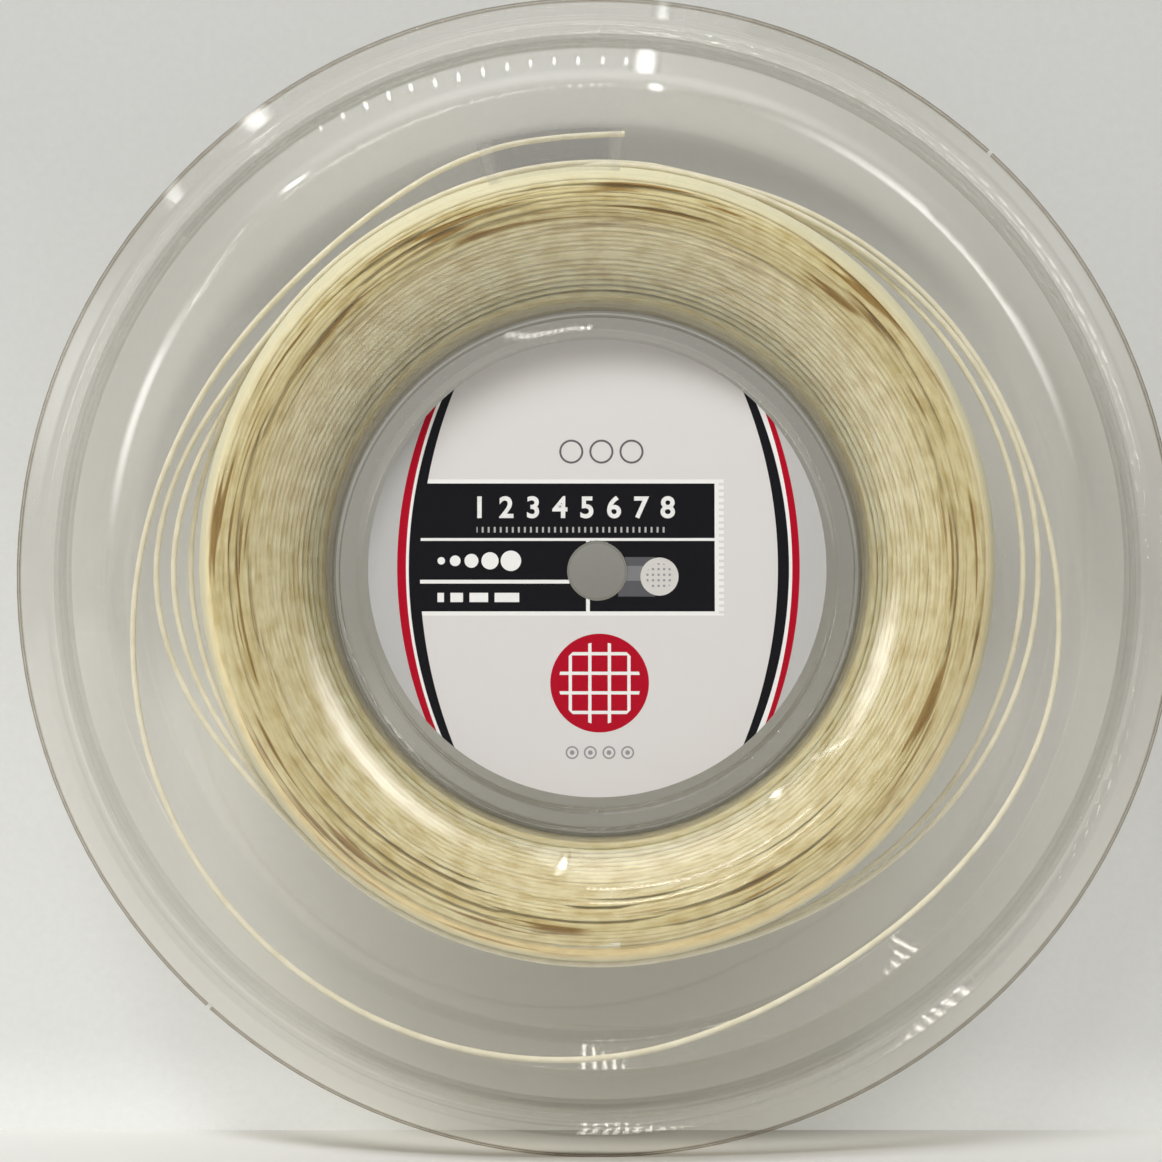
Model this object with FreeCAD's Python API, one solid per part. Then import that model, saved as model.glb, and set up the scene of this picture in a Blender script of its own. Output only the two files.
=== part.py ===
import FreeCAD, Part
import math
import os

# String reel: two clear moulded shells joined at the hub, holding a wound coil of racket string.
# Millimetres. The reel's axis is Y, with the front face towards -Y, and Z is up.
# The origin is the middle of the spindle hole. A profile gives radius from the axis and
# depth out from the mid-plane, where the two shells meet.

# Shells
wall = 1.0                  # thickness of the clear sheet
bond_film = 0.3             # film between the two hub floors
bore_radius = 6.0           # spindle hole
seat_radius = 51.2          # flat floor that the label lies on
seat_step = 0.8             # from there the floor steps outwards
seat_fillet = 0.8
cup_foot_radius = 56.6      # where the hub wall leaves the floor
cup_draft = 4.0             # degrees, opening outwards
cup_edge_depth = 11.0       # where the hub wall turns into the flange
cup_foot_fillet = 1.6
cup_edge_fillet = 4.0
slope_angle = 28.0          # degrees, inner side of the flange's dome
dome_radius = 40.0          # bend from that slope to the flat face
face_depth = 17.0           # flat outer face of the flange
face_outer_radius = 102.5   # where the flat face starts to fall away
face_bend = 12.0
cone_angle = 20.0           # degrees
cone_width = 7.8
shoulder_fillet = 1.5
skirt_width = 6.5           # steep side, from the shoulder down to the lip
skirt_foot_fillet = 1.2
bead_rise = 0.8             # low ring pressed in the lip
bead_width = 4.2
bead_fillet = 1.5
lip_width = 4.0             # thin edge outside the bead
lip_depth = 1.1             # foot of the skirt
rim_depth = 0.7             # the two rims close in on each other
nick_angles = [43.2, 221.7] # degrees clockwise from the top, where the cutting die's halves meet
nick_width = 1.0
nick_depth = 0.35

# Film and labels
bond_hole_margin = 8.0      # from the spindle hole to the film
bond_edge_margin = 5.0      # from the film to the end of the flat floor
label_edge_margin = 1.5     # from the label to the end of the flat floor
label_hole_margin = 0.5     # the label's hole is cut a little larger than the spindle hole
label_thickness = 0.15
label_shift_up = 0.7        # stuck on a little off centre

# String
string_diameter = 1.24
fit_clearance = 0.3         # between a soft or wound piece and its neighbour
coil_radius = 85.5
coil_shift_up = 1.9         # the coil is thicker above the hub than below
coil_crown_radius = 27.0    # the coil's rim bulges between the flanges
turn_pitch = 1.3            # turns lie side by side on the coil and show as ribs
rib_height = 0.35

# Clear tape over the string's end
tape_thickness = 0.2
tape_span = 19.0            # degrees round the reel
tape_short_of_end = 0.4     # degrees of string that stick out past the tape
tape_foot_reach = 5.0
tape_stand = 6.0            # how far each foot is from the string, along the reel's axis
tape_fold = 1.5

bend_share = 0.45           # how much of a run the bend at either end of it takes up

# The string's last turn stands off the coil. Each point is the angle clockwise from the top
# in degrees, the distance out from the coil's radius and the place along Y.
loose_turn_route = [
    (8.0, 3.1, -2.0),
    (22.0, 4.2, -2.2),
    (36.0, 5.7, -2.9),
    (50.0, 7.4, -4.0),
    (64.0, 8.7, -5.1),
    (78.0, 10.2, -6.4),
    (92.0, 12.9, -7.6),
    (106.0, 15.1, -9.0),
    (120.0, 14.5, -10.6),
    (134.0, 12.7, -11.9),
    (148.0, 11.8, -12.8),
    (162.0, 13.3, -13.5),
    (176.0, 16.3, -13.9),
    (190.0, 18.3, -14.0),
    (204.0, 19.5, -13.9),
    (218.0, 19.9, -13.4),
    (232.0, 19.3, -12.6),
    (246.0, 17.5, -11.6),
    (260.0, 14.6, -10.2),
    (274.0, 11.4, -8.7),
    (288.0, 8.5, -7.0),
    (302.0, 6.2, -5.4),
    (316.0, 4.9, -4.1),
    (328.0, 5.9, -3.4),
    (340.0, 8.3, -3.1),
    (352.0, 9.5, -3.0),
    (363.6, 9.2, -3.0),
]

shoulder_radius = face_outer_radius + cone_width
skirt_foot_radius = shoulder_radius + skirt_width
rim_radius = skirt_foot_radius + bead_width + lip_width
floor_depth = bond_film / 2 + wall / 2

origin = FreeCAD.Vector(0, 0, 0)
reel_axis = FreeCAD.Vector(0, 1, 0)


def save(name, shape):
    shape.exportStep("parts/" + name + ".step")
    print(name, "solids", len(shape.Solids), "volume", round(shape.Volume, 1), "valid", shape.isValid())


def at_angle(angle, radius, y):
    """A point given by its angle clockwise from the top, as seen from the front."""
    turn = math.radians(angle)
    return FreeCAD.Vector(radius * math.sin(turn), y, radius * math.cos(turn))


def unit(vector):
    return vector * (1.0 / vector.Length)


def rounded_edges(points, fillets, shift=0.0):
    """Edges along a path in the XY plane with its corners rounded, moved sideways by shift."""
    edges = []
    start = points[0]
    for index in range(1, len(points)):
        run = unit(points[index] - points[index - 1])
        side = FreeCAD.Vector(-run.y, run.x, 0) * shift
        last = index == len(points) - 1
        end = points[index]
        if not last:
            next_run = unit(points[index + 1] - points[index])
            turn = run.getAngle(next_run)
            trim = fillets[index - 1] * math.tan(turn / 2)
            end = points[index] - run * trim
        edges.append(Part.LineSegment(start + side, end + side).toShape())
        if last:
            break
        next_start = points[index] + next_run * trim
        next_side = FreeCAD.Vector(-next_run.y, next_run.x, 0) * shift
        bisector = unit(next_run - run)
        centre = points[index] + bisector * (fillets[index - 1] / math.cos(turn / 2))
        bends_left = run.cross(next_run).z > 0
        radius = fillets[index - 1] - shift if bends_left else fillets[index - 1] + shift
        middle = centre - bisector * radius
        edges.append(Part.Arc(end + side, middle, next_start + next_side).toShape())
        start = next_start
    return edges


def strip_face(points, fillets, thickness):
    """A bent strip of even thickness, as a face in the XY plane."""
    left = rounded_edges(points, fillets, thickness / 2)
    right = rounded_edges(points, fillets, -thickness / 2)
    first_cap = Part.LineSegment(left[0].Vertexes[0].Point, right[0].Vertexes[0].Point).toShape()
    last_cap = Part.LineSegment(left[-1].Vertexes[-1].Point, right[-1].Vertexes[-1].Point).toShape()
    wire = Part.Wire(Part.__sortEdges__(left + right + [first_cap, last_cap]))
    return Part.Face(wire)


def slope_rise(angle, width):
    return width * math.tan(math.radians(angle))


def shell_profile():
    """The middle of the sheet, from the spindle hole to the rim, with a fillet for each corner."""
    foot_depth = floor_depth + seat_step
    cup_edge_radius = cup_foot_radius + slope_rise(cup_draft, cup_edge_depth - foot_depth)
    face_start = cup_edge_radius + (face_depth - cup_edge_depth) / math.tan(math.radians(slope_angle))
    shoulder_depth = face_depth - slope_rise(cone_angle, cone_width)
    corners = [
        (bore_radius, floor_depth, None),
        (seat_radius, floor_depth, seat_fillet),
        (seat_radius + seat_step, foot_depth, seat_fillet),
        (cup_foot_radius, foot_depth, cup_foot_fillet),
        (cup_edge_radius, cup_edge_depth, cup_edge_fillet),
        (face_start, face_depth, dome_radius),
        (face_outer_radius, face_depth, face_bend),
        (shoulder_radius, shoulder_depth, shoulder_fillet),
        (skirt_foot_radius, lip_depth, skirt_foot_fillet),
        (skirt_foot_radius + bead_width / 2, lip_depth + bead_rise, bead_fillet),
        (skirt_foot_radius + bead_width, lip_depth, bead_fillet),
        (rim_radius, rim_depth, None),
    ]
    points = [FreeCAD.Vector(radius, -depth, 0) for radius, depth, fillet in corners]
    fillets = [fillet for radius, depth, fillet in corners if fillet is not None]
    return points, fillets


def round_solid(face):
    return face.revolve(origin, reel_axis, 360).Solids[0]


def mirrored(shape):
    return shape.mirror(origin, reel_axis)


def rim_nick(angle):
    block = Part.makeBox(nick_width, 4 * wall, 2 * nick_depth)
    block.translate(FreeCAD.Vector(-nick_width / 2, -2 * wall, rim_radius - nick_depth))
    block.rotate(origin, reel_axis, angle)
    return block


def make_shell():
    points, fillets = shell_profile()
    shell = round_solid(strip_face(points, fillets, wall))
    for angle in nick_angles:
        shell = shell.cut(rim_nick(angle))
    return shell.Solids[0]


def floor_flat_radius():
    """Radius at which the flat floor starts to turn into the step round it."""
    return seat_radius - seat_fillet * math.tan(math.radians(45) / 2)


def make_bond_ring():
    base = FreeCAD.Vector(0, -bond_film / 2, 0)
    ring = Part.makeCylinder(floor_flat_radius() - bond_edge_margin, bond_film, base, reel_axis)
    return ring.cut(Part.makeCylinder(bore_radius + bond_hole_margin, bond_film, base, reel_axis))


def make_label():
    """The front label, lying on the front hub floor."""
    outer_y = -(bond_film / 2 + wall + label_thickness)
    centre = FreeCAD.Vector(0, outer_y, label_shift_up)
    disc = Part.makeCylinder(floor_flat_radius() - label_edge_margin, label_thickness, centre, reel_axis)
    hole_radius = bore_radius + label_hole_margin
    hole = Part.makeCylinder(hole_radius, label_thickness, FreeCAD.Vector(0, outer_y, 0), reel_axis)
    return disc.cut(hole)


def ribbed_edges(path_edges):
    """Small arcs along a path, one for each turn of string. They rise to the left of the path."""
    path = Part.Wire(path_edges)
    count = round(path.Length / turn_pitch)
    points = path.discretize(Number=count + 1)
    edges = []
    for start, end in zip(points, points[1:]):
        run = unit(end - start)
        top = (start + end) * 0.5 + FreeCAD.Vector(-run.y, run.x, 0) * rib_height
        edges.append(Part.Arc(start, top, end).toShape())
    return edges


def winding_space():
    """The space that string can fill between the two shells, clear of their walls."""
    points, fillets = shell_profile()
    foot, edge = points[3:5]
    wall_line = unit(edge - foot)
    wall_start = foot + wall_line * ((-bond_film - foot.y) / wall_line.y)
    inner_points = [wall_start] + points[4:8]
    clear_of_wall = wall / 2 + fit_clearance + rib_height
    wall_edge, *side_edges = rounded_edges(inner_points, fillets[3:6], clear_of_wall)[:5]
    side_edges = [edge.mirror(origin, FreeCAD.Vector(0, 1, 0)) for edge in side_edges]
    wall_edge = wall_edge.mirror(origin, FreeCAD.Vector(0, 1, 0))
    rear = [wall_edge] + ribbed_edges(side_edges)
    front = [edge.mirror(origin, reel_axis) for edge in rear]
    hub_side = Part.LineSegment(front[0].Vertexes[0].Point, rear[0].Vertexes[0].Point).toShape()
    rim_side = Part.LineSegment(front[-1].Vertexes[-1].Point, rear[-1].Vertexes[-1].Point).toShape()
    wire = Part.Wire(Part.__sortEdges__(front + rear + [hub_side, rim_side]))
    return round_solid(Part.Face(wire))


def make_coil():
    """The wound string as one solid: it fills the space between the shells out to its bulging rim."""
    crown_radius = coil_crown_radius - rib_height
    centre = coil_radius - coil_crown_radius
    edge_radius = centre + math.sqrt(crown_radius ** 2 - face_depth ** 2)
    low = FreeCAD.Vector(edge_radius, -face_depth, 0)
    high = FreeCAD.Vector(edge_radius, face_depth, 0)
    low_axis = FreeCAD.Vector(0, -face_depth, 0)
    high_axis = FreeCAD.Vector(0, face_depth, 0)
    crown = Part.Arc(high, FreeCAD.Vector(centre + crown_radius, 0, 0), low).toShape()
    outline = ribbed_edges([crown]) + [
        Part.LineSegment(low_axis, low).toShape(),
        Part.LineSegment(high, high_axis).toShape(),
        Part.LineSegment(high_axis, low_axis).toShape(),
    ]
    disc = round_solid(Part.Face(Part.Wire(Part.__sortEdges__(outline))))
    # A quarter turn keeps the disc's seam away from the seam of the space it is cut to.
    disc.rotate(origin, reel_axis, 90)
    disc.translate(FreeCAD.Vector(0, 0, coil_shift_up))
    return winding_space().common(disc).Solids[0]


def coil_crown_sag(y):
    """How far the coil's bulging rim falls back at a place along the reel's axis."""
    return coil_crown_radius - math.sqrt(coil_crown_radius ** 2 - y ** 2)


def coil_rim_radius(y):
    """Radius of the coil's outer face straight above the hub, at a place along the reel's axis."""
    return coil_radius + coil_shift_up - coil_crown_sag(y)


def make_loose_turn():
    """The last turn of string: straight runs joined by arcs as large as the runs allow."""
    points = [at_angle(angle, coil_radius + stand, y) for angle, stand, y in loose_turn_route]
    lengths = [(b - a).Length for a, b in zip(points, points[1:])]
    edges = []
    start = points[0]
    bend_radii = []
    for index in range(1, len(points) - 1):
        run = unit(points[index] - points[index - 1])
        next_run = unit(points[index + 1] - points[index])
        half_turn = run.getAngle(next_run) / 2
        trim = bend_share * min(lengths[index - 1], lengths[index])
        radius = trim / math.tan(half_turn)
        bend_radii.append(radius)
        end = points[index] - run * trim
        next_start = points[index] + next_run * trim
        inside = unit(next_run - run)
        middle = points[index] + inside * (radius / math.cos(half_turn) - radius)
        edges.append(Part.LineSegment(start, end).toShape())
        edges.append(Part.Arc(end, middle, next_start).toShape())
        start = next_start
    edges.append(Part.LineSegment(start, points[-1]).toShape())
    path = Part.Wire(edges)
    section = Part.Wire(Part.makeCircle(string_diameter / 2, points[0], points[1] - points[0]))
    tube = path.makePipeShell([section], True, True)
    swept = math.pi * string_diameter ** 2 / 4 * path.Length
    print("loose turn length", round(path.Length, 1), "runs", round(min(lengths), 1), round(max(lengths), 1))
    print("bend radii", [round(radius) for radius in bend_radii])
    print("tube volume over section times length", round(tube.Volume / swept, 4))
    return tube.Solids[0]


def make_end_tape():
    """Clear tape that runs over the string's end like a tent and sticks to the coil on both sides."""
    end_angle, end_stand, string_y = loose_turn_route[-1]
    string_radius = coil_radius + end_stand
    half = tape_thickness / 2
    over_string = string_diameter / 2 + fit_clearance + half
    front_y = string_y - tape_stand
    back_y = string_y + tape_stand
    seat = fit_clearance + half
    section = [
        (front_y - tape_foot_reach, coil_rim_radius(front_y - tape_foot_reach) + seat),
        (front_y, coil_rim_radius(front_y) + seat),
        (string_y - over_string, string_radius + over_string),
        (string_y + over_string, string_radius + over_string),
        (back_y, coil_rim_radius(back_y) + seat),
        (back_y + tape_foot_reach, coil_rim_radius(back_y + tape_foot_reach) + seat),
    ]
    points = [FreeCAD.Vector(radius, y, 0) for y, radius in section]
    over_fold = over_string / 2
    face = strip_face(points, [tape_fold, over_fold, over_fold, tape_fold], tape_thickness)
    tape = face.revolve(origin, reel_axis, tape_span)
    tape.rotate(origin, reel_axis, end_angle - tape_short_of_end - tape_span - 90)
    return tape.Solids[0]


def main():
    os.makedirs("parts", exist_ok=True)
    front_shell = make_shell()
    front_label = make_label()
    save("front_shell", front_shell)
    save("rear_shell", mirrored(front_shell))
    save("bond_ring", make_bond_ring())
    save("front_label", front_label)
    save("rear_label", mirrored(front_label))
    save("string_winding", make_coil())
    save("loose_turn", make_loose_turn())
    save("end_tape", make_end_tape())


main()
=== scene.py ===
# %% [markdown]
# This lesson dresses a reel of racket string. The imported model gives the real sizes: two clear
# moulded shells, joined at the hub, with about 200 m of string wound between them. Here the string
# is wound turn by turn, the label gets its print, and the plastic becomes clear.
# All lengths are metres, but tables of numbers hold millimetres and are multiplied by mm
# where they are used. The reel's axis is Y, its front faces -Y, and Z is up.

# %% Load the imported model
import bpy
import math
import random
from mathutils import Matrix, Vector


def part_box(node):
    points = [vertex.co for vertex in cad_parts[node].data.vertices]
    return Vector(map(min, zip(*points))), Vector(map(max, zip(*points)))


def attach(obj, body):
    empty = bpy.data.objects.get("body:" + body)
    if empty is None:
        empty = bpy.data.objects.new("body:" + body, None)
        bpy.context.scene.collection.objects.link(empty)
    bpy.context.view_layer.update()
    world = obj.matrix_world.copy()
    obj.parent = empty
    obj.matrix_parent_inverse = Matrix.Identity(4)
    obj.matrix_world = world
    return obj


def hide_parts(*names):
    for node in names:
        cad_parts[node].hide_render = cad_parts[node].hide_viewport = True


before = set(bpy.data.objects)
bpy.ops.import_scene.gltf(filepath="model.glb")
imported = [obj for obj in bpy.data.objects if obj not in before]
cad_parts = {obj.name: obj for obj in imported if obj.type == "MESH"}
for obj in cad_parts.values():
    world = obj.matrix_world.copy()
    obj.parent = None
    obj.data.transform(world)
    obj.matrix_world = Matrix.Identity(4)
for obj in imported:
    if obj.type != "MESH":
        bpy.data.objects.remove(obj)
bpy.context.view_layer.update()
mm = 0.001
shell_low, shell_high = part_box("front_shell")
rim_radius = shell_high.x
face_depth = -shell_low.y
print("rim radius", round(rim_radius, 4), "face depth", round(face_depth, 4))

# %% [markdown]
# The camera comes first, because everything is judged through it. The photograph is taken at the
# front face from less than half a metre away, so the shells' front edges look slightly larger than
# their rear edges. The reel leans back on a wall by a little over two degrees. Because the model
# stands upright, the camera goes down by that angle instead and looks up at the reel. A lens is
# found from what has to fill the picture: about 251 mm across at the middle of the reel.

# %% Camera
camera_distance = 0.425
camera_left = 3.5 * mm
camera_down = 2.2 * mm
picture_width = 0.251
sensor_width = 36
lean_back = math.radians(2.3)
towards_camera = Vector((0, -math.cos(lean_back), -math.sin(lean_back)))
camera_up = Vector((0, -math.sin(lean_back), math.cos(lean_back)))


def add_camera():
    place = towards_camera * camera_distance - Vector((camera_left, 0, 0)) - camera_up * camera_down
    bpy.ops.object.camera_add(location=place, rotation=(math.radians(90) + lean_back, 0, 0))
    camera = bpy.context.object
    camera.data.sensor_width = sensor_width
    camera.data.lens = sensor_width * camera_distance / picture_width
    camera.data.clip_start = 0.01
    camera.data.clip_end = 20
    bpy.context.scene.camera = camera
    return camera


camera = add_camera()
print("lens", round(camera.data.lens, 1), "mm")

# %% [markdown]
# The string's last turn stands off the coil, goes once round and ends under a piece of tape at the
# top. A stiff string bends in one smooth line, so it is a NURBS curve with few points, given
# as the clock angle, the distance out from the coil's radius and the place along the axis.

# %% The loose last turn
string_diameter = 1.24 * mm
coil_radius = 85.5 * mm
loose_turn_route = [
    (8.0, 3.1, -2.0),
    (22.0, 4.2, -2.2),
    (36.0, 5.7, -2.9),
    (50.0, 7.4, -4.0),
    (64.0, 8.7, -5.1),
    (78.0, 10.2, -6.4),
    (92.0, 12.9, -7.6),
    (106.0, 15.1, -9.0),
    (120.0, 14.5, -10.6),
    (134.0, 12.7, -11.9),
    (148.0, 11.8, -12.8),
    (162.0, 13.3, -13.5),
    (176.0, 16.3, -13.9),
    (190.0, 18.3, -14.0),
    (204.0, 19.5, -13.9),
    (218.0, 19.9, -13.4),
    (232.0, 19.3, -12.6),
    (246.0, 17.5, -11.6),
    (260.0, 14.6, -10.2),
    (274.0, 11.4, -8.7),
    (288.0, 8.5, -7.0),
    (302.0, 6.2, -5.4),
    (316.0, 4.9, -4.1),
    (328.0, 5.9, -3.4),
    (340.0, 8.3, -3.1),
    (352.0, 9.5, -3.0),
    (363.6, 9.2, -3.0),
]


def at_clock(angle, radius, y):
    """A point from its angle clockwise from the top, its radius and its place along the axis."""
    turn = math.radians(angle)
    return Vector((radius * math.sin(turn), y, radius * math.cos(turn)))


def add_string_curve(name, points, kind):
    """A round string along the points. Its ends are closed."""
    data = bpy.data.curves.new(name, "CURVE")
    data.dimensions = "3D"
    data.bevel_depth = 1.0
    data.use_fill_caps = True
    spline = data.splines.new(kind)
    spline.points.add(len(points) - 1)
    for control, point in zip(spline.points, points):
        control.co = (point.x, point.y, point.z, 1)
        control.radius = string_diameter / 2
    if kind == "NURBS":
        spline.order_u = 3
        spline.use_endpoint_u = True
    curve = bpy.data.objects.new(name, data)
    bpy.context.collection.objects.link(curve)
    return curve


loose_points = [
    at_clock(angle, coil_radius + out * mm, y * mm) for angle, out, y in loose_turn_route]
loose_turn = add_string_curve("loose_last_turn", loose_points, "NURBS")
loose_turn.data.bevel_resolution = 4
loose_turn.data.resolution_u = 10
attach(loose_turn, "root")
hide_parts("loose_turn")
print("loose turn points", len(loose_points))

# %% [markdown]
# The wound string is one length, laid in turns side by side from shell to shell and back, layer on
# layer. It could be a ring with a striped bump, but real turns catch the light one by one, cross a
# little and leave dark gaps, so each turn is really there. A loop works out the path: the angle
# always grows, the place along the axis goes to and fro, and the radius steps up at each shell.

# %% The space between the shells, measured to the middle of the outermost string
string_radius = string_diameter / 2
first_layer_radius = 58.0 * mm
hub_slope = math.tan(math.radians(4))
flange_slope = math.tan(math.radians(28))
slope_start_radius = 58.7 * mm
slope_start_depth = 9.9 * mm
dome_radius = 38.5 * mm
dome_end_radius = 78.5 * mm
dome_centre_depth = -23.0 * mm
crown_radius = 27.0 * mm
coil_shift_up = 1.9 * mm


def shell_limit(radius):
    """How far from the middle a string can lie at a radius before it touches a shell."""
    inwards = max(0.0, dome_end_radius - radius)
    dome = dome_centre_depth + math.sqrt(dome_radius ** 2 - inwards ** 2)
    slope = slope_start_depth + (radius - slope_start_radius) * flange_slope
    return min(dome, slope) if radius > slope_start_radius else slope_start_depth


def hub_radius(y):
    """The smallest radius at which a string can lie, because the hub opens towards both shells."""
    return first_layer_radius + abs(y) * hub_slope


def rim_radius_at(y):
    """The largest radius at which a string lies, because the coil's rim bulges."""
    return coil_radius - string_radius - crown_radius + math.sqrt(crown_radius ** 2 - y ** 2)


def layer_radius(share, y):
    """The radius of a layer, whose share is 0 on the hub and 1 at the coil's rim."""
    return hub_radius(y) + share * (rim_radius_at(y) - hub_radius(y))


def layer_reach(share):
    """How far along the axis a layer goes before it meets a shell."""
    reach = shell_limit(first_layer_radius)
    for _ in range(4):
        reach = shell_limit(layer_radius(share, reach))
    return reach


print("half width at the hub", round(shell_limit(first_layer_radius), 4))

# %% [markdown]
# No turn lies quite true. A few slow sine waves let a line wander smoothly, and a rounded swelling
# lifts or sinks it about one clock angle. The random numbers start from a fixed seed, so the winding
# comes out the same each time.

# %% Smooth unevenness
chance = random.Random(11)
dip_widths = (8, 26)
dip_depths = (0.4, 1.9)
least_dip = 0.1 * mm


def add_waves(count, slowest, fastest):
    """A few sine waves with their own speeds and starts, for a smooth uneven line."""
    return [(chance.uniform(slowest, fastest), chance.uniform(0, 6.28)) for _ in range(count)]


def wave_height(waves, turns):
    return sum(math.sin(6.283 * speed * turns + start) for speed, start in waves) / len(waves)


def swelling(clock, middle, reach):
    """A smooth rise and fall round a clock angle, 1 in the middle and 0 beyond its reach."""
    away = abs((clock - middle + 180) % 360 - 180) / reach
    return math.cos(away * math.pi / 2) ** 2 if away < 1 else 0.0


def blend(share):
    """A share that starts and ends gently."""
    share = max(0.0, min(1.0, share))
    return share * share * (3 - 2 * share)


def add_dips(layer):
    """Places where a turn at a shell sinks inwards and leaves a dark gap between its neighbours."""
    looseness = swelling(layer * 10, 175, 95)
    count = chance.choice((3, 4, 5)) if looseness > 0.2 else chance.choice((0, 1))
    dips = []
    for _ in range(count):
        middle, width = chance.uniform(0, 360), chance.uniform(*dip_widths)
        dips.append((middle, width, chance.uniform(*dip_depths) * looseness * mm + least_dip))
    return dips


depth_waves = add_waves(5, 0.6, 3.3)
radius_waves = add_waves(5, 0.8, 4.1)
print("waves", len(depth_waves), "along the axis and", len(radius_waves), "outwards")

# %% [markdown]
# The path goes up layer by layer. In each layer one turn lies flat at a shell, a run of turns crosses
# over, and one turn lies flat at the other shell, where the string climbs to the next layer. All layers
# could be wound as closely as the outermost ones, but nobody sees into the coil, so the hidden layers
# are wound more openly and the meshes stay light.

# %% The winding's path
layer_count = 26
close_layers = 3
close_pitch = 1.30 * mm
hidden_pitch = 1.86 * mm
steps_per_turn = 80
flat_turns = 1.0
climb_turns = 0.14
dip_fade_turns = 1.5
wander_outwards = 0.13 * mm
more_wander_at_rim = 0.11 * mm
wander_along = 0.12 * mm


def layer_points(layer, side, start_turns):
    """One layer's points and its number of turns. The side is the shell at which it starts."""
    reach = layer_reach(layer / (layer_count - 1))
    crossing = 2 * reach / (close_pitch if layer >= layer_count - close_layers else hidden_pitch)
    layer_turns = crossing + 2 * flat_turns
    dips = add_dips(layer), add_dips(layer)
    wander = wander_outwards + more_wander_at_rim * blend(layer / layer_count)
    steps = int(layer_turns * steps_per_turn)
    points = []
    for step in range(steps):
        gone = step / steps * layer_turns
        here = start_turns + gone
        clock = 360 * here
        angle = math.radians(clock)
        crossed = max(0.0, min(1.0, (gone - flat_turns) / crossing))
        climbed = blend(1 - (layer_turns - gone) / climb_turns)
        share = min(1.0, (layer + climbed) / (layer_count - 1))
        y = side * reach * (1 - 2 * crossed)
        r = layer_radius(share, y) + coil_shift_up * math.cos(angle) * share
        r += wander * wave_height(radius_waves, here)
        y += wander_along * wave_height(depth_waves, here)
        from_shell = side if crossed < 0.5 else -side
        closeness = max(0.0, 1 - min(crossed, 1 - crossed) * crossing / dip_fade_turns)
        sunk = [depth * swelling(clock, middle, width) for middle, width, depth in dips[crossed > 0.5]]
        y -= from_shell * max(sunk, default=0) * closeness
        limit = shell_limit(r)
        y = max(-limit, min(limit, y))
        points.append(Vector((r * math.sin(angle), y, r * math.cos(angle))))
    return points, layer_turns


def winding_path():
    points = []
    turns = 0.0
    for layer in range(layer_count):
        more_points, more_turns = layer_points(layer, 1 if layer % 2 else -1, turns)
        points += more_points
        turns += more_turns
    return points, turns


path_points, total_turns = winding_path()
wound_length = sum((b - a).length for a, b in zip(path_points, path_points[1:]))
print("turns", round(total_turns), "points", len(path_points), "string", round(wound_length, 1), "m")

# %% [markdown]
# The outermost turns have come loose: they hug the coil at the top and bulge on both sides. Each
# bulge is a smooth swelling of the turn's radius about a clock angle, and a large one also moves the
# turn along the axis, towards the front. The third turn runs into the start of the last one, so the
# string stays one piece.

# %% Loosened turns
bulges = [
    [(90, 60, 2.4), (270, 34, 1.8)],
    [(92, 74, 5.0), (268, 37, 4.6)],
    [(92, 78, 7.9), (268, 42, 8.0)],
]
bulge_depths = [-3.5, -5.0, -6.5]
large_bulge = 2
first_turn_depth = -0.6
depth_per_turn = -1.3
lift_off_coil = 0.4 * mm
degrees_per_step = 3
steps_of_rise = 20
steps_of_join = 14


def loosened_turns(start, target):
    """Three turns from the coil's last point to the last turn's first point."""
    start_radius = math.hypot(start.x, start.z)
    start_clock = math.degrees(math.atan2(start.x, start.z)) % 360
    target_radius = math.hypot(target.x, target.z)
    target_clock = math.degrees(math.atan2(target.x, target.z))
    sweep = len(bulges) * 360 + target_clock - start_clock
    steps = int(sweep / degrees_per_step)
    points = []
    for step in range(1, steps + 1):
        here = start_clock + step / steps * sweep
        turn = min(len(bulges) - 1, int(here // 360))
        clock = here - 360 * turn
        rise = blend(min(1.0, step / steps_of_rise))
        join = blend(min(1.0, (steps - step) / steps_of_join))
        swellings = [(size, swelling(clock, middle, reach)) for middle, reach, size in bulges[turn]]
        crown = coil_radius + lift_off_coil + coil_shift_up * math.cos(math.radians(clock))
        out = sum(size * height for size, height in swellings)
        r = start_radius + (crown - start_radius) * rise + out * mm
        r = target_radius + (r - target_radius) * join
        depth = first_turn_depth + depth_per_turn * turn
        forwards = sum(height for size, height in swellings if size > large_bulge)
        depth += (bulge_depths[turn] - depth) * forwards
        y = start.y + (depth * mm - start.y) * rise
        y = target.y + (y - target.y) * join
        points.append(Vector((r * math.sin(math.radians(here)), y, r * math.cos(math.radians(here)))))
    return points


loosened = [path_points[-1]] + loosened_turns(path_points[-1], loose_points[0])
gap_to_last_turn = (loosened[-1] - loose_points[0]).length
print("loosened points", len(loosened), "end to last turn", round(gap_to_last_turn, 6))

# %% [markdown]
# One mesh for the whole length would be too heavy, so the string is cut into equal lengths that
# meet end to end. Each is a curve with a round bevel, turned into a mesh.

# %% Wind the string
wound_pieces = 5
wound_fineness = 2
loosened_fineness = 4


def add_wound_piece(name, points, fineness):
    bpy.ops.object.select_all(action="DESELECT")
    curve = add_string_curve(name, points, "POLY")
    curve.data.bevel_resolution = fineness
    curve.select_set(True)
    bpy.context.view_layer.objects.active = curve
    bpy.ops.object.convert(target="MESH")
    piece = bpy.context.object
    bpy.ops.object.shade_smooth()
    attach(piece, "root")
    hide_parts("string_winding")
    return piece


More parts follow.
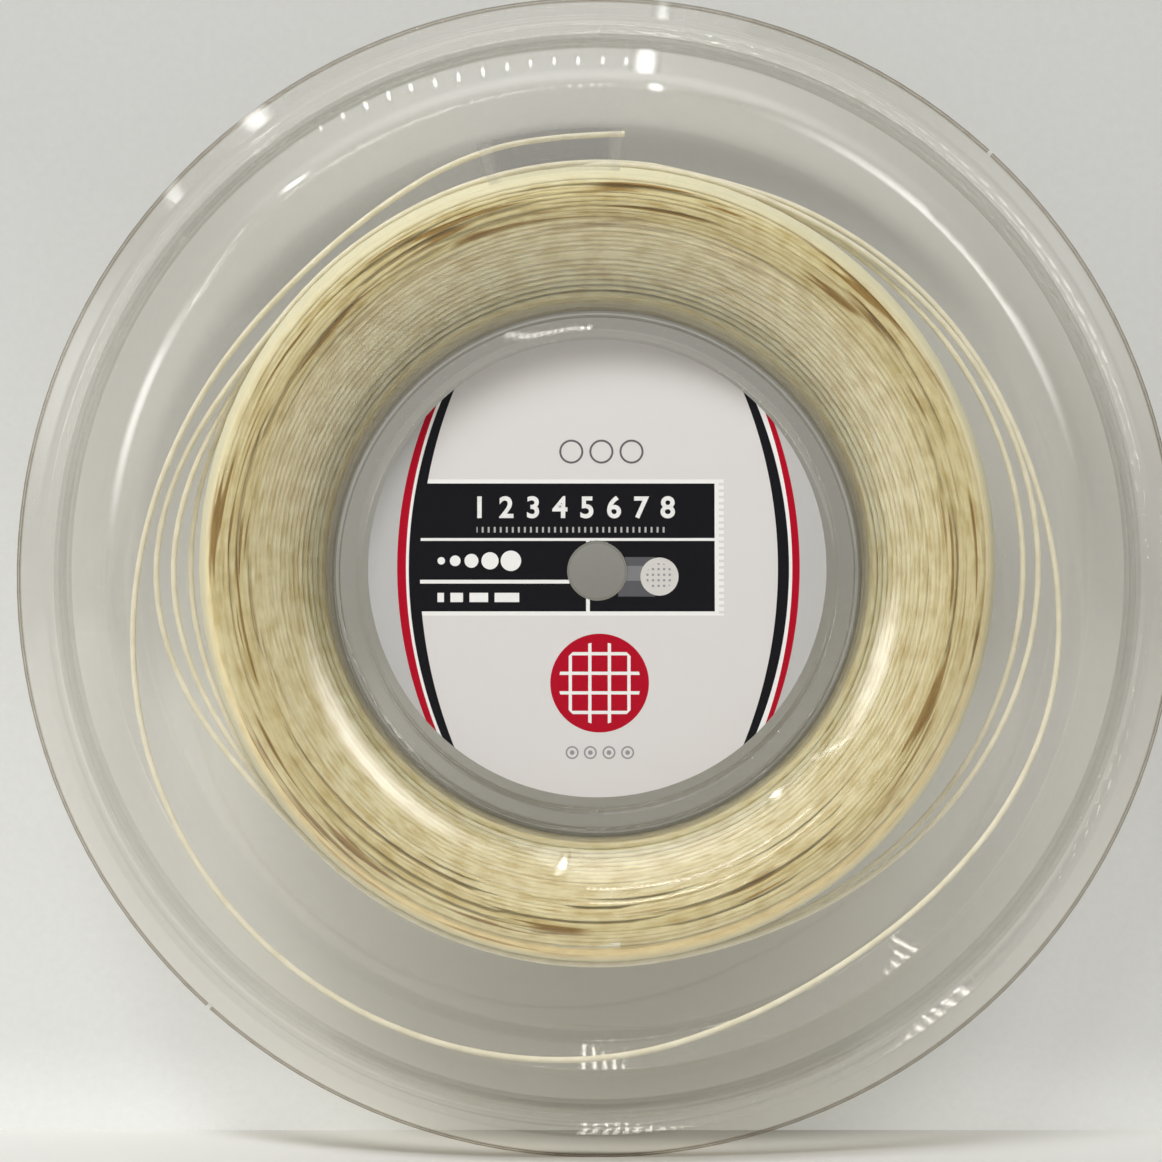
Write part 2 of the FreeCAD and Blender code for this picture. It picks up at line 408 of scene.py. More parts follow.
run_length = len(path_points) // wound_pieces + 1
wound_string = []
for index in range(wound_pieces):
    run = path_points[index * run_length:(index + 1) * run_length + 1]
    wound_string.append(add_wound_piece("wound_string_%d" % (index + 1), run, wound_fineness))
loosened_string = add_wound_piece("loosened_turns", loosened, loosened_fineness)
for piece in wound_string + [loosened_string]:
    triangles = sum(len(face.vertices) - 2 for face in piece.data.polygons)
    print(piece.name, "triangles", triangles)

# %% [markdown]
# The finishes are all worked out from the place on the object, so they need no pictures and turn with
# it. They could be wired up node by node, but most nodes only do a sum, and a sum reads better as one
# line. So a material in the making is an object with functions: each adds a node, feeds its sockets
# and hands back the socket where its result waits for the next one.

# %% A material in the making


class Finish:
    """A new material. What its functions take is a number, a colour, a place or another node's socket."""

    def __init__(self, name):
        self.material = bpy.data.materials.new(name)
        self.material.use_nodes = True
        self.nodes = self.material.node_tree.nodes
        self.surface = self.nodes["Principled BSDF"]
        self.look_from(self.add("TexCoord").outputs["Object"])

    def look_from(self, place):
        self.place = place
        self.x, self.y, self.z = self.add("SeparateXYZ", place).outputs

    def feed(self, socket, value):
        """Links a socket to another node, or sets the value on the socket itself."""
        if isinstance(value, bpy.types.NodeSocket):
            self.material.node_tree.links.new(value, socket)
        elif socket.type == "RGBA":
            socket.default_value = (*value, 1)
        else:
            socket.default_value = value

    def add(self, kind, *values, **settings):
        """A node of one kind with its settings made and its first sockets fed, in their order."""
        node = self.nodes.new("ShaderNode" + kind)
        for setting, value in settings.items():
            setattr(node, setting, value)
        for socket, value in zip(node.inputs, values):
            self.feed(socket, value)
        return node

    def fill(self, values, node=None):
        """Feeds sockets by their names: those of the surface, or of another node."""
        node = node or self.surface
        for name, value in values.items():
            self.feed(node.inputs[name], value)
        return node.outputs[0]

    def math(self, operation, *values):
        return self.add("Math", *values, operation=operation).outputs[0]

    def vector(self, operation, *values):
        return self.add("VectorMath", *values, operation=operation).outputs[0]

    def measure(self, operation, *values):
        """A sum on places that gives a number, such as a length."""
        return self.add("VectorMath", *values, operation=operation).outputs["Value"]

    def scaled(self, direction, amount):
        return self.fill({"Scale": amount}, self.add("VectorMath", direction, operation="SCALE"))

    def from_axis(self):
        """The direction away from the reel's axis, and the distance from it."""
        flat = self.vector("MULTIPLY", self.place, (1, 0, 1))
        return self.vector("NORMALIZE", flat), self.measure("LENGTH", flat)

    def span(self, value, low, high, at_low=0.0, at_high=1.0, shape="LINEAR"):
        """How far a value is on its way from low to high, as a share or between two other values."""
        return self.add("MapRange", value, low, high, at_low, at_high, interpolation_type=shape).outputs[0]

    def curve(self, value, points):
        node = self.add("FloatCurve")
        curve = node.mapping.curves[0]
        curve.points[0].location = points[0]
        curve.points[1].location = points[-1]
        for at, height in points[1:-1]:
            curve.points.new(at, height)
        node.mapping.update()
        return self.fill({"Value": value}, node)

    def ramp(self, value, *stops):
        """Colours for a share. Each stop is the share and its colour."""
        node = self.add("ValToRGB", value)
        elements = node.color_ramp.elements
        while len(elements) < len(stops):
            elements.new(0.5)
        for element, (at, colour) in zip(elements, stops):
            element.position = at
            element.color = (*colour, 1)
        return node.outputs[0]

    def grey_ramp(self, value, *stops):
        """A ramp from share to share between black at 0 and white at 1."""
        return self.ramp(value, *((at, (grey,) * 3) for at, grey in stops))

    def noise(self, scale, detail=2.0, roughness=0.5, place=None):
        """Smooth noise, with its scale in waves per metre."""
        settings = {"Scale": scale, "Detail": detail, "Roughness": roughness}
        return self.fill(settings, self.add("TexNoise", self.place if place is None else place))

    def bump(self, height, strength, distance):
        return self.fill({"Strength": strength, "Distance": distance, "Height": height}, self.add("Bump"))

    def mix(self, share, first, second, blending="MIX"):
        """Two colours mixed or multiplied."""
        node = self.add("Mix", share, data_type="RGBA", blend_type=blending)
        self.feed(node.inputs[6], first)
        self.feed(node.inputs[7], second)
        return node.outputs[2]

    def mix_shaders(self, share, first, second):
        return self.add("MixShader", share, first, second).outputs[0]

    def show(self, shader):
        """Lets the material show another shader than its own surface."""
        self.feed(self.nodes["Material Output"].inputs["Surface"], shader)
        return self.material


def dress(piece, material):
    piece.data.materials.clear()
    piece.data.materials.append(material)


# %% [markdown]
# The shells are clear sheet, a millimetre thick. They could be glass that bends the light, but a thin
# sheet hardly shifts what is behind it, and glass would stop the lamps from reaching the string. So
# the sheet is a film with a mirror laid over it. Where it is looked at straight on it is nearly not
# there. Where it turns away, at the hub wall and the rim, it grows darker and mirrors more. That draws
# its edges. The cut edge of the lip is darker still, because light that runs along inside a clear sheet
# leaves it elsewhere. A slight unevenness, as moulded sheet has, makes its highlights wander, and a
# second, softer mirror gives them a faint halo.

# %% Clear plastic
cut_edge_width = 0.35 * mm
cut_edge_fade = 0.25 * mm


def clear_plastic():
    """A thin clear sheet: see-through, and a mirror where it is looked at from the side."""
    plastic = Finish("clear_plastic")
    facing = plastic.add("LayerWeight", 0.5).outputs["Facing"]
    tint = plastic.ramp(facing, (0.74, (0.995, 0.99, 0.975)), (1.0, (0.45, 0.44, 0.37)))
    outwards, radius = plastic.from_axis()
    edge_start = rim_radius - cut_edge_width
    to_edge = plastic.span(radius, edge_start, edge_start + cut_edge_fade)
    cut_edge = plastic.ramp(to_edge, (0.0, (1, 1, 1)), (1.0, (0.64, 0.60, 0.54)))
    film = plastic.add("BsdfTransparent", plastic.vector("MULTIPLY", tint, cut_edge)).outputs[0]
    waviness = plastic.noise(45, 1)
    sharp, soft = (
        plastic.fill({"Roughness": roughness, "Normal": plastic.bump(waviness, 0.09, 0.4 * mm)},
                     plastic.add("BsdfGlossy"))
        for roughness in (0.02, 0.16))
    mirrored = plastic.math("MULTIPLY_ADD", plastic.math("POWER", facing, 5.0), 0.95, 0.05)
    return plastic.show(plastic.mix_shaders(mirrored, film, plastic.mix_shaders(0.35, sharp, soft)))


shell_material = clear_plastic()
for name in ("front_shell", "rear_shell"):
    dress(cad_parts[name], shell_material)
print("shells wear", shell_material.name)

# %% [markdown]
# The string is cream nylon. The wound coil needs more than one colour, and its turns could be
# coloured one by one. But their shades follow the coil and not the single turn, so three sums on the
# place are enough: the way the coil as a whole faces there, how deep the place lies below the coil's
# side, and a noise that is drawn out along the turns.

# %% The coil as a whole
coil_inner_radius = 57 * mm
coil_outer_radius = 87 * mm
coil_middle_radius = 75 * mm
widest_depth = 20 * mm
side_per_metre = 75.0


def coil_surface(string):
    """The way the whole coil faces at a point: out at its rim, along the axis at its sides."""
    outwards, radius = string.from_axis()
    across = string.span(radius, coil_inner_radius, coil_outer_radius)
    lean = string.curve(across, ((0.0, 0.08), (0.35, 0.22), (0.65, 0.44), (0.82, 0.72), (1.0, 1.0)))
    radial = string.scaled(outwards, string.math("MULTIPLY_ADD", lean, 2.0, -1.0))
    side = string.add("Clamp", string.math("MULTIPLY", string.y, side_per_metre), -1.0, 1.0).outputs[0]
    along = string.add("CombineXYZ", 0.0, side, 0.0).outputs[0]
    return string.vector("NORMALIZE", string.vector("ADD", radial, along))


def depth_below_side(string, radius):
    """How far a point lies below the coil's side, in metres."""
    across = string.span(radius, coil_inner_radius, coil_outer_radius)
    side = string.curve(across, ((0.0, 0.495), (0.1, 0.53), (0.267, 0.653), (0.433, 0.728),
                                 (0.6, 0.767), (0.717, 0.775), (1.0, 0.775)))
    along = string.math("MULTIPLY", string.math("ABSOLUTE", string.y), -1.0)
    return string.math("MULTIPLY_ADD", side, widest_depth, along)


def streak_noise(string, length, width, detail):
    """Noise that is drawn out along the turns, with its streaks' length and width in metres."""
    outwards, radius = string.from_axis()
    around = string.scaled(outwards, coil_middle_radius / length)
    across = string.math("DIVIDE", string.math("SUBTRACT", radius, string.y), width)
    lift = string.add("CombineXYZ", 0.0, across, 0.0).outputs[0]
    return string.noise(1.0, detail, place=string.vector("ADD", around, lift))


# %% [markdown]
# One function makes the finish of all the string. The string lets some light in, so it looks soft,
# and its colour changes a little from place to place. All of it glows faintly with painted light.
# For the wound coil three things are added. Zones that follow the distance from the axis tone the
# cream: near the hub the side is smooth and greyish, in the middle it is mottled with short streaks
# and has brown gaps of painted shade, and the rim is pale. Light that falls between the turns comes
# out again warmer, so the gaps get a painted glow, more the deeper they lie. And the turns take most
# of their shading from the coil as a whole, which is how a bundle of soft fibres looks from some way off.

# %% String finish
zones_inner_radius = 60 * mm
zones_outer_radius = 88 * mm
crown_cream = (0.76, 0.73, 0.54)
wound_creams = (0.76, 0.66, 0.40), (0.87, 0.80, 0.54)
loose_creams = (0.68, 0.64, 0.50), (0.76, 0.72, 0.59)


def coil_colours(string, cream, zones):
    """The cream of the string, toned by the coil's zones and its streaks, with painted shade in its gaps.
    """
    tone = string.ramp(
        zones, (0.0, (0.74, 0.75, 0.72)), (0.08, (0.92, 0.91, 0.89)), (0.40, (0.92, 0.90, 0.86)),
        (0.50, (0.82, 0.78, 0.66)), (0.70, (0.86, 0.83, 0.73)), (0.79, (1, 1, 1)))
    streaks = streak_noise(string, 6 * mm, 1.1 * mm, 2)
    streaks = string.ramp(streaks, (0.32, (0.80, 0.74, 0.60)), (0.54, (1, 1, 1)))
    # Painted shade: dark brown streaks for the gaps between the turns in the middle zone.
    painted_gap_shade = streak_noise(string, 20 * mm, 0.9 * mm, 0)
    painted_gap_shade = string.ramp(painted_gap_shade, (0.29, (0.42, 0.29, 0.12)), (0.40, (1, 1, 1)))
    streaks_here = string.grey_ramp(zones, (0.72, 1), (0.80, 0))
    painted_gap_shade_here = string.grey_ramp(zones, (0.30, 0), (0.50, 1), (0.74, 1), (0.80, 0))
    crown_here = string.grey_ramp(zones, (0.74, 0), (0.82, 1))
    colour = string.mix(1.0, cream, tone, "MULTIPLY")
    colour = string.mix(streaks_here, colour, streaks, "MULTIPLY")
    colour = string.mix(painted_gap_shade_here, colour, painted_gap_shade, "MULTIPLY")
    return string.mix(crown_here, colour, crown_cream)


def painted_gap_glow(string, radius, zones):
    """A painted glow: warm light in the gaps of the coil's side, and a faint glow elsewhere."""
    deep = string.span(depth_below_side(string, radius), 0.1 * mm, 1.2 * mm)
    painted_glow = string.ramp(deep, (0.0, (0.03, 0.03, 0.02)), (1.0, (0.41, 0.31, 0.15)))
    painted_glow_on_side = string.grey_ramp(zones, (0.0, 0.1), (0.08, 1), (0.72, 1), (0.82, 0.1))
    return string.mix(1.0, painted_glow, painted_glow_on_side, "MULTIPLY")


def bundle_shading(string, zones):
    """Normals that lie between those of the single turns and those of the coil as a whole."""
    smooth = string.grey_ramp(zones, (0.0, 0.97), (0.4, 0.95), (0.76, 0.65), (0.9, 0.40))
    node = string.add("Mix", smooth, data_type="VECTOR")
    string.feed(node.inputs[4], string.add("NewGeometry").outputs["Normal"])
    string.feed(node.inputs[5], coil_surface(string))
    return string.vector("NORMALIZE", node.outputs[1])


def string_finish(name, wound):
    """Cream string with a faint painted glow. The wound coil is mottled, with painted shade and a painted
    glow in its gaps, and its side looks smoother than its turns.
    """
    string = Finish(name)
    dark, light = wound_creams if wound else loose_creams
    colour = string.ramp(string.noise(260, 3), (0.30, dark), (0.62, light))
    painted_glow = colour
    if wound:
        outwards, radius = string.from_axis()
        zones = string.span(radius, zones_inner_radius, zones_outer_radius)
        colour = coil_colours(string, colour, zones)
        painted_glow = painted_gap_glow(string, radius, zones)
        string.fill({"Normal": bundle_shading(string, zones)})
    # The emission is painted light: a glow in the wound coil's gaps and a faint glow over the loose string.
    string.fill({
        "Base Color": colour,
        "Roughness": 0.45,
        "Emission Color": painted_glow,
        "Emission Strength": 0.72 if wound else 0.10,
        "Subsurface Weight": 0.1 if wound else 0.4,
        "Subsurface Radius": (1.0, 0.8, 0.45) if wound else (1.0, 0.92, 0.75),
        "Subsurface Scale": 1.2 * mm,
    })
    return string.material


wound_material = string_finish("wound_string", True)
loose_material = string_finish("loose_string", False)
for piece in wound_string:
    dress(piece, wound_material)
for piece in (loosened_string, loose_turn):
    dress(piece, loose_material)
print("string wears", wound_material.name, "and", loose_material.name)

# %% [markdown]
# The label is printed paper. Its stripes are thin arcs of large circles, so each colour is painted
# over the last one inside a pair of circles. The print could be a picture, but a picture has a fixed
# sharpness. Here each shape is a sum on the place on the label, in millimetres, so its edges stay
# sharp from any distance. One more function per shape is all that this takes.

# %% Paper and ink
silver = (0.50, 0.49, 0.48)
white = (0.68, 0.655, 0.64)
bright = (0.83, 0.82, 0.80)
red = (0.42, 0.003, 0.018)
black = (0.006, 0.006, 0.008)
grey = (0.28, 0.28, 0.29)
dark_grey = (0.13, 0.12, 0.13)


class Print(Finish):
    """Ink laid over ink on one material. All places and sizes are millimetres on the label."""

    def __init__(self, name, colour, facing):
        super().__init__(name)
        self.look_from(self.vector("MULTIPLY", self.place, (-1000 * facing, 0, 1000)))
        self.colour = colour

    def both(self, first, second):
        return self.math("MULTIPLY", first, second)

    def either(self, first, second):
        return self.math("MAXIMUM", first, second)

    def circle(self, x, z, radius):
        return self.math("LESS_THAN", self.measure("DISTANCE", self.place, (x, 0, z)), radius)

    def box(self, left, right, low, high):
        across = self.math("COMPARE", self.x, (left + right) / 2, (right - left) / 2)
        upwards = self.math("COMPARE", self.z, (low + high) / 2, (high - low) / 2)
        return self.both(across, upwards)

    def stripes(self, along, pitch, width, start=0.0):
        """Lines of one width, a pitch apart, one of them at the start."""
        moved = self.math("SUBTRACT", along, start)
        return self.math("LESS_THAN", self.math("PINGPONG", moved, pitch / 2), width / 2)

    def paint(self, where, colour):
        self.colour = self.mix(where, self.colour, colour)

    def ringed_dots(self, places, z, *rings):
        """Dots in a row. Each is painted from its outer ring inwards."""
        for x in places:
            for radius, colour in rings:
                self.paint(self.circle(x, z, radius), colour)


# %% [markdown]
# From the edge inwards the paper is silver, then red, white, black, and a duller white in the middle.
# The black box and its rules go on top, with the picture of a cut end of string, and with dots and
# bars that grow in steps. A red disc with a woven grid, like the strings of a racket, sits below.

# %% The label's print
stripe_arcs = (
    (-43.1, 90, 43.6, 92, red),
    (-41.2, 97, 42.0, 100, bright),
    (-40.6, 96, 41.3, 93, black),
    (-38.2, 104, 38.9, 101, white),
)
arcs_middle = 0.9


def paint_stripes(ink):
    """The stripes at both sides. Hands back what lies to the right of the innermost left one."""
    for left, left_bend, right, right_bend, colour in stripe_arcs:
        past_left = ink.circle(left + left_bend, arcs_middle, left_bend)
        before_right = ink.circle(right - right_bend, arcs_middle, right_bend)
        ink.paint(ink.both(past_left, before_right), colour)
    return past_left


def paint_box(ink, past_left):
    """The black box with its bright border, its teeth, its rules and a small scale of ticks."""
    ink.paint(ink.both(past_left, ink.box(-45, 26.2, -9.7, 19.7)), bright)
    ink.paint(ink.both(ink.box(26.0, 27.3, -9.7, 19.7), ink.stripes(ink.z, 1.38, 0.8)), bright)
    ink.paint(ink.both(past_left, ink.box(-45, 25.3, -8.8, 18.8)), black)
    ink.paint(ink.both(past_left, ink.box(-45, 25.3, 6.4, 7.0)), bright)
    ink.paint(ink.both(past_left, ink.box(-45, -6.0, -2.8, -2.0)), bright)
    ink.paint(ink.box(-2.4, -1.6, -8.8, 6.4), bright)
    ink.paint(ink.both(ink.box(-26, 15.4, 8.2, 9.4), ink.stripes(ink.x, 1.3, 0.4)), (0.45, 0.44, 0.43))


def paint_steps(ink):
    """A row of dots and a row of bars, each a step larger than the one before."""
    for number, x in enumerate((-33.6, -30.6, -27.1, -23.1, -18.6)):
        ink.paint(ink.circle(x, 2.1, 0.8 + 0.35 * number), bright)
    for number, x in enumerate((-34.4, -31.6, -27.5, -22.1)):
        ink.paint(ink.box(x, x + 1.4 + 1.3 * number, -6.8, -4.8), bright)


def paint_cut_end(ink):
    """A rod seen from its cut end, where the fibres show."""
    ink.paint(ink.box(4.5, 12.5, -5.6, 2.9), (0.10, 0.10, 0.11))
    ink.paint(ink.box(4.5, 12.5, -2.2, 1.0), (0.20, 0.20, 0.21))
    ink.paint(ink.circle(13.4, -1.3, 4.1), (0.62, 0.60, 0.57))
    fibres = ink.both(ink.stripes(ink.x, 1.2, 0.5), ink.stripes(ink.z, 1.2, 0.5, 0.3))
    ink.paint(ink.both(ink.circle(13.4, -1.3, 2.9), fibres), grey)


def paint_grid_disc(ink):
    """A red disc with strings woven across it."""
    ink.paint(ink.circle(0.5, -24.2, 10.6), red)
    grid = ink.either(ink.stripes(ink.x, 4.2, 0.7, 2.6), ink.stripes(ink.z, 4.2, 0.7, -26.3))
    ink.paint(ink.both(ink.circle(0.5, -24.2, 8.8), grid), bright)


def label_print(name, facing):
    ink = Print(name, silver, facing)
    paint_box(ink, paint_stripes(ink))
    paint_steps(ink)
    paint_cut_end(ink)
    paint_grid_disc(ink)
    ink.ringed_dots((-5.4, -1.5, 2.5, 6.5), -39.1, (1.4, grey), (1.05, white), (0.5, grey))
    ink.ringed_dots((-5.6, 0.9, 7.4), 25.7, (2.6, dark_grey), (2.15, white))
    ink.fill({"Base Color": ink.colour, "Roughness": 0.35, "Specular IOR Level": 0.15})
    return ink.material


for name, facing in (("front_label", -1), ("rear_label", 1)):
    dress(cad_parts[name], label_print(name + "_print", facing))
    print(name, "is printed")

# %% [markdown]
# A row of plain numbers, like those on a ruler, fills the label's top bar. They could be painted like
# the rest, but digits have too many curves for that. So they are text turned into thin meshes and
# laid on the paper, once on either face.

# %% Numbers
label_top = 1.3 * mm
above_label = 0.015 * mm
digit_share = 0.72
numbers_start = -25.4 * mm
numbers_pitch = 5.8 * mm
numbers_height = 13.4 * mm


def worn_ink():
    ink = Finish("number_ink")
    wear = ink.ramp(ink.noise(900, 3), (0.35, (0.76, 0.75, 0.73)), (0.60, bright))
    ink.fill({"Base Color": wear, "Roughness": 0.35})
    return ink.material


number_ink = worn_ink()


def add_number(body, x, z, height, facing):
    """A digit laid on a label. The facing is -1 for the front and 1 for the rear."""
    bpy.ops.object.select_all(action="DESELECT")
    bpy.ops.object.text_add()
    number = bpy.context.object
    number.name = "number_%s_%s" % (body, "front" if facing < 0 else "rear")
    number.data.body = body
    number.data.size = height / digit_share
    number.data.align_x = "CENTER"
    number.data.align_y = "CENTER"
    number.data.extrude = 0.01 * mm
    number.data.offset = 0.035 * height
    bpy.ops.object.convert(target="MESH")
    number.rotation_euler = (math.radians(90), 0, math.radians(180) if facing > 0 else 0)
    number.location = (-facing * x, facing * (label_top + above_label), z)
    bpy.ops.object.transform_apply(location=True, rotation=True, scale=True)
    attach(number, "root")
    dress(number, number_ink)
    return number


for facing in (-1, 1):
    for step in range(8):
        add_number(str(step + 1), numbers_start + numbers_pitch * step, numbers_height, 4.6 * mm, facing)
print("numbers", 2 * 8)

# %% [markdown]
# The film that joins the hub floors is hardly seen, but it is real: a milky adhesive. The tape over
# the string's end is clear film too, with a hazy band at each end where it was torn off. The bands
# lie at two angles round the reel, so the haze follows the angle from the tape's middle.

# %% Adhesive film and tape
tape_middle = math.radians(-6.3)
haze_start = math.radians(7.2)
haze_end = math.radians(8.8)


def adhesive():
    film = Finish("bond_film")
    milk = film.ramp(film.noise(400, 3), (0.0, (0.46, 0.45, 0.42)), (1.0, (0.62, 0.61, 0.58)))
    film.fill({"Base Color": milk, "Roughness": 0.6})
    return film.material


def clear_tape():
    """Mostly see-through, with more haze in its bands."""
    tape = Finish("clear_tape")
    angle = tape.math("ARCTAN2", tape.x, tape.z)
    away = tape.math("ABSOLUTE", tape.math("SUBTRACT", angle, tape_middle))
    tape.fill({
        "Base Color": (0.72, 0.71, 0.68),
        "Roughness": 0.15,
        "Alpha": tape.span(away, haze_start, haze_end, 0.05, 0.12, "SMOOTHSTEP"),
        "Normal": tape.bump(tape.noise(300, 2), 0.3, 0.2 * mm),
    })
    return tape.material


dress(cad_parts["bond_ring"], adhesive())
dress(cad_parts["end_tape"], clear_tape())
print("film and tape are dressed")

# %% [markdown]
# The reel stands on a pale table and leans on a pale wall, a little behind it. The wall is brighter
# towards its lower left and in the fold above the table, and darker and warmer behind the coil, where
# the room's light doesn't reach. Lamps alone could do that, but in a small scene few rays find their
# way into the narrow gap. So that light and shade are painted into the paper, and the paper glows a
# little with painted light. Seen from behind, the wall isn't there. The table is plain paper, which
# catches the reel's shadow.

# %% The wall's paper
# The painted shadow behind the coil: its middle, half width, half height and darkest share; and how high
# the painted light in the fold reaches.
painted_shadow_middle = (0.006, -0.065, 0)
painted_shadow_half_width = 0.085
painted_shadow_half_height = 0.100
painted_shadow_darkest = 0.54
fold_height = 22 * mm


def wall_paper():
    """Matt paper with a fine grain, with painted light at the lower left and in the fold, a painted shadow
    behind the coil, and a painted glow.
    """
    paper = Finish("wall_paper")
    # Painted light: the paper grows brighter towards its lower left.
    towards_corner = paper.span(paper.measure("DOT_PRODUCT", paper.place, (0.6, 1.4, 0)), 0.06, -0.24)
    paper_with_painted_corner_light = paper.ramp(towards_corner, (0.0, (0.32, 0.32, 0.309)), (1.0, (0.416, 0.416, 0.4017)))
    # Painted shadow: darker and warmer in an oval behind the coil.
    from_shade = paper.vector("SUBTRACT", paper.place, painted_shadow_middle)
    oval = paper.vector("MULTIPLY", from_shade, (1 / painted_shadow_half_width, 1 / painted_shadow_half_height, 0))
    painted_shadow = paper.span(paper.measure("LENGTH", oval), 0.2, 1.2, painted_shadow_darkest, 1.0, "SMOOTHSTEP")
    painted_shadow_warmth = paper.ramp(painted_shadow, (0.5, (1.03, 1.0, 0.88)), (1.0, (1, 1, 1)))
    # Painted light: brighter in the fold just above the table.
    painted_fold_light = paper.span(paper.y, fold_height - rim_radius, -1 * mm - rim_radius, 1.0, 1.14, "SMOOTHSTEP")
    grain = paper.span(paper.noise(500, 3, 0.7), 0.0, 1.0, 0.95, 1.05)
    grain_and_painted_light = paper.math("MULTIPLY", paper.math("MULTIPLY", painted_fold_light, grain), painted_shadow)
    colour = paper.scaled(paper.vector("MULTIPLY", paper_with_painted_corner_light, painted_shadow_warmth), grain_and_painted_light)
    # Painted light: the paper glows with its own colour, painted light and shadow included.
    front = paper.fill({
        "Base Color": colour,
        "Roughness": 0.9,
        "Specular IOR Level": 0.1,
        "Emission Color": colour,
        "Emission Strength": 0.85,
    })
    seen_from_behind = paper.add("NewGeometry").outputs["Backfacing"]
    return paper.show(paper.mix_shaders(seen_from_behind, front, paper.add("BsdfTransparent").outputs[0]))


# %% Stage
wall_behind = 24 * mm
floor_drop = math.radians(5)
stage_size = 12


def floor_paper():
    paper = Finish("floor_paper")
    paper.fill({"Base Color": (0.69, 0.685, 0.66), "Roughness": 0.9})
    return paper.material


def add_sheet(name, place, turn, material):
    """A large sheet of the stage, turned about the X axis from lying flat."""
    bpy.ops.mesh.primitive_plane_add(size=stage_size, location=place)
    sheet = bpy.context.object
    sheet.name = name
    bpy.ops.transform.rotate(value=-turn, orient_axis="X", center_override=place)
    dress(sheet, material)
    return sheet


floor = add_sheet("floor", (0, 0, -rim_radius), lean_back - floor_drop, floor_paper())
wall = add_sheet("wall", -towards_camera * wall_behind, math.radians(90) + lean_back, wall_paper())
print("stage", floor.name, wall.name)

# %% [markdown]
# Three soft lamps light the reel: a high one in front, which makes the coil's lower side brighter than
# its upper side, a weak one from the lower left, and one behind for the views from the back. None of
# them is mirrored in the plastic, where their plain rectangles would look wrong.

# %% Lamps


def add_lamp(name, place, size, power):
    """A soft lamp that faces the reel. It lights the reel but isn't mirrored in its plastic."""
    bpy.ops.object.light_add(type="AREA", location=place)
    lamp = bpy.context.object
    lamp.name = name
    lamp.data.shape = "RECTANGLE"
    lamp.data.size, lamp.data.size_y = size
    lamp.data.energy = power
    lamp.rotation_euler = (-Vector(place)).to_track_quat("-Z", "Y").to_euler()
    lamp.visible_glossy = False
    return lamp


key_lamp = add_lamp("key_lamp", (-0.45, -1.1, 1.6), (0.8, 0.4), 39)
left_lamp = add_lamp("left_lamp", (-1.1, -0.8, -0.3), (0.5, 0.6), 4)
back_lamp = add_lamp("back_lamp", (0.5, 1.3, 0.9), (0.8, 0.6), 28)
print("lamps", key_lamp.name, left_lamp.name, back_lamp.name)

# %% [markdown]
# What the plastic mirrors is set up apart from the lamps. A mirror needs something to show, so glowing
# plates stand round the camera that only mirrors can see, and that light nothing. Where each one
# stands follows from where the photograph has its highlight: the line of sight is mirrored in the
# shell at that place and followed forwards. A plate in a row of lights glows evenly. A single plate
# fades towards its edges, as a soft window does.

# %% Glowing plates
plate_distance = 0.5


def glowing(name, strength, size, soft):
    """Light that is even, or brightest in the plate's middle and fading to its edges."""
    light = Finish(name)
    shine = (1, 0.98, 0.95)
    if soft:
        from_middle = light.vector("MULTIPLY", light.place, (2 / size[0], 0, 2 / size[1]))
        shine = light.span(light.measure("LENGTH", from_middle), 1.0, 0.0, shape="SMOOTHERSTEP")
    light.fill({
        "Base Color": (0, 0, 0),
        "Specular IOR Level": 0.0,
        "Emission Color": shine,
        "Emission Strength": strength,
    })
    light.material.cycles.emission_sampling = "NONE"
    return light.material


def add_glow_plate(name, start, end, size, strength, count=1, ahead=plate_distance):
    """A glowing plate ahead of the reel. With a count it is a row of lights from start to end."""
    (start_x, start_z), (end_x, end_z) = start, end
    bpy.ops.mesh.primitive_plane_add(size=1)
    plate = bpy.context.object
    plate.name = name
    bpy.ops.object.mode_set(mode="EDIT")
    bpy.ops.transform.resize(value=(*size, 1))
    bpy.ops.transform.rotate(value=math.radians(90), orient_axis="X")
    bpy.ops.object.mode_set(mode="OBJECT")
    if count > 1:
        plate.location = (start_x, -ahead, start_z)
        row = plate.modifiers.new("row", "ARRAY")
        row.count = count
        row.use_relative_offset = False
        row.use_constant_offset = True
        row.constant_offset_displace = ((end_x - start_x) / (count - 1), 0, (end_z - start_z) / (count - 1))
    else:
        plate.location = ((start_x + end_x) / 2, -ahead, (start_z + end_z) / 2)
        plate.rotation_euler = (0, math.atan2(end_x - start_x, end_z - start_z), 0)
    dress(plate, glowing(name, strength, size, count == 1))
    plate.visible_shadow = False
    plate.visible_diffuse = False
    plate.visible_camera = False
    return plate


# %% [markdown]
# Three rows of small lights draw the dotted arcs on the plastic's bends. They could stand near the
# camera, but there the flat top of the dome mirrors them too and draws lines across the coil. From
# five metres away only the bends mirror them. The soft ceiling stands behind them, because in front it
# would hide them.

